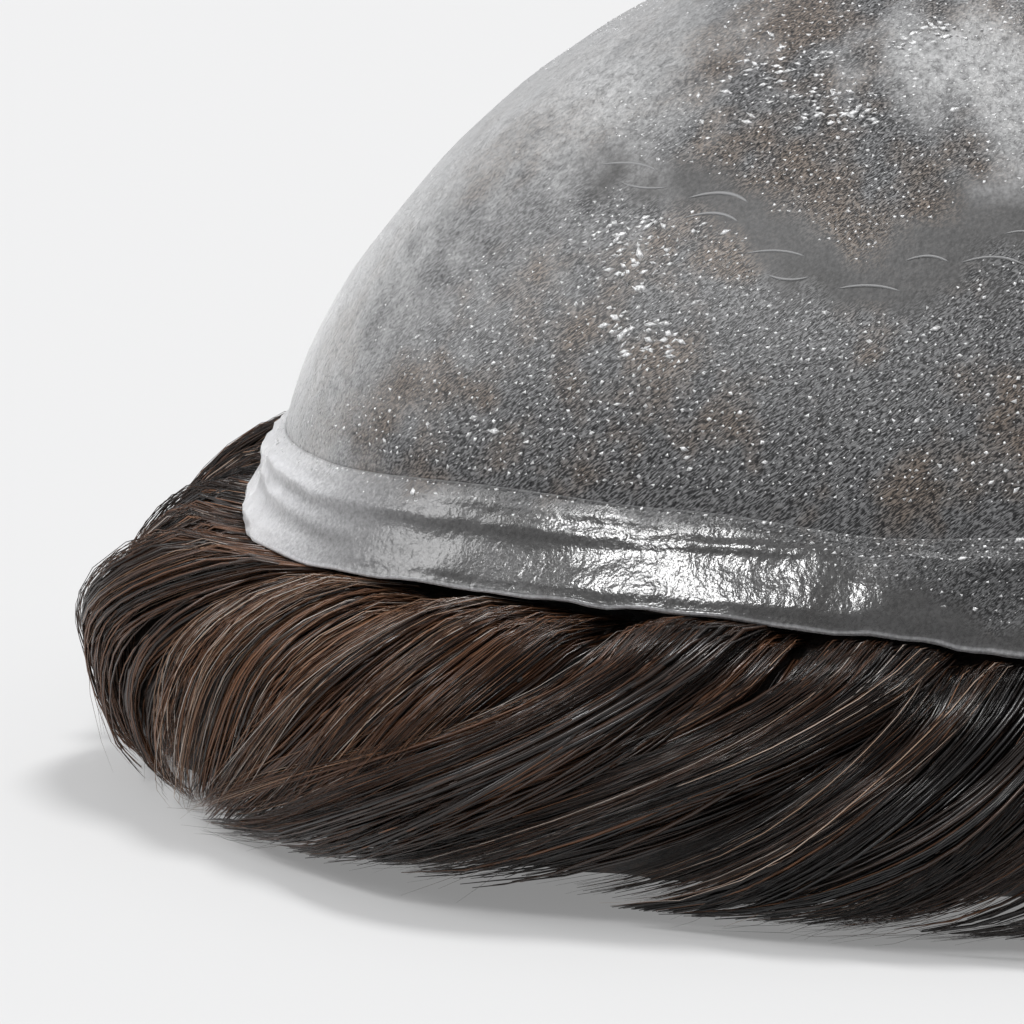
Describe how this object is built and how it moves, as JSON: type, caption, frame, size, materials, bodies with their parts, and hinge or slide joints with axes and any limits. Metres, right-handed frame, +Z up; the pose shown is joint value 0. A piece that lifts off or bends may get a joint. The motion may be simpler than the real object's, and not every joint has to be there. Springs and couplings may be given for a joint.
{
  "type": "toupee hairpiece",
  "caption": "Men's toupee hair system lying inside out: thin knotted skin dome with a clear rim band, over dark hair that lines it and spills out round the rim.",
  "frame": {"origin": "on the surface it rests on, under the middle of the whole piece", "axes": "+Z up through the crown of the cap; the hairline at the front is towards -Y and the back towards +Y; +X is the wearer's left side"},
  "size_m": [0.162, 0.2142, 0.0983],
  "materials": {
    "knotted_skin": "thin translucent polymer skin, glossy, dotted with knots",
    "clear_band": "clear soft polymer, glossy",
    "hair": "fine dark brown hair with a silky gloss"
  },
  "bodies": {
    "root": {"skin_dome": "knotted_skin", "rim_band": "clear_band", "crown_hair": "hair", "left_side_hair": "hair", "back_hair": "hair", "right_side_hair": "hair", "front_hair": "hair"}
  },
  "joints": []
}
